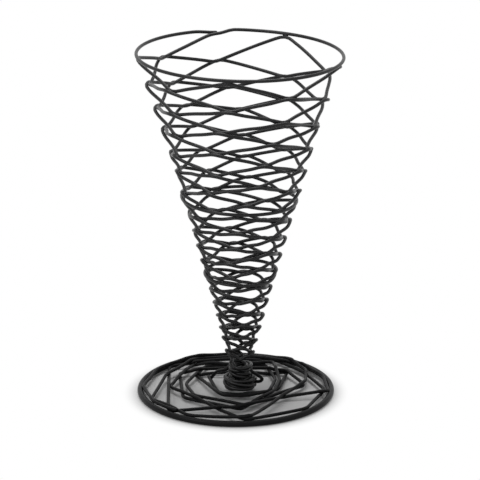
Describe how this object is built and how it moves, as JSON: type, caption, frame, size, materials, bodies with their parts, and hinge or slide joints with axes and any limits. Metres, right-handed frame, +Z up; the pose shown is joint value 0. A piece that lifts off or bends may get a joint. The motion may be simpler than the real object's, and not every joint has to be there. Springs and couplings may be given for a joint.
{
  "type": "wire appetizer cone",
  "caption": "Tall open cone of black zigzag wire for fries or finger food, narrowing to a tight coil on a flat wire foot with a round floor ring.",
  "frame": {"origin": "on the floor, under the axis of the cone", "axes": "+Z up along the cone's axis, -Y to the front, +X to the right as seen from the front"},
  "size_m": [0.1343, 0.1334, 0.2299],
  "materials": {
    "coat": "satin black powder coat on steel wire"
  },
  "bodies": {
    "root": {"cone_wire": "coat", "foot_wire": "coat", "floor_ring": "coat"}
  },
  "joints": []
}
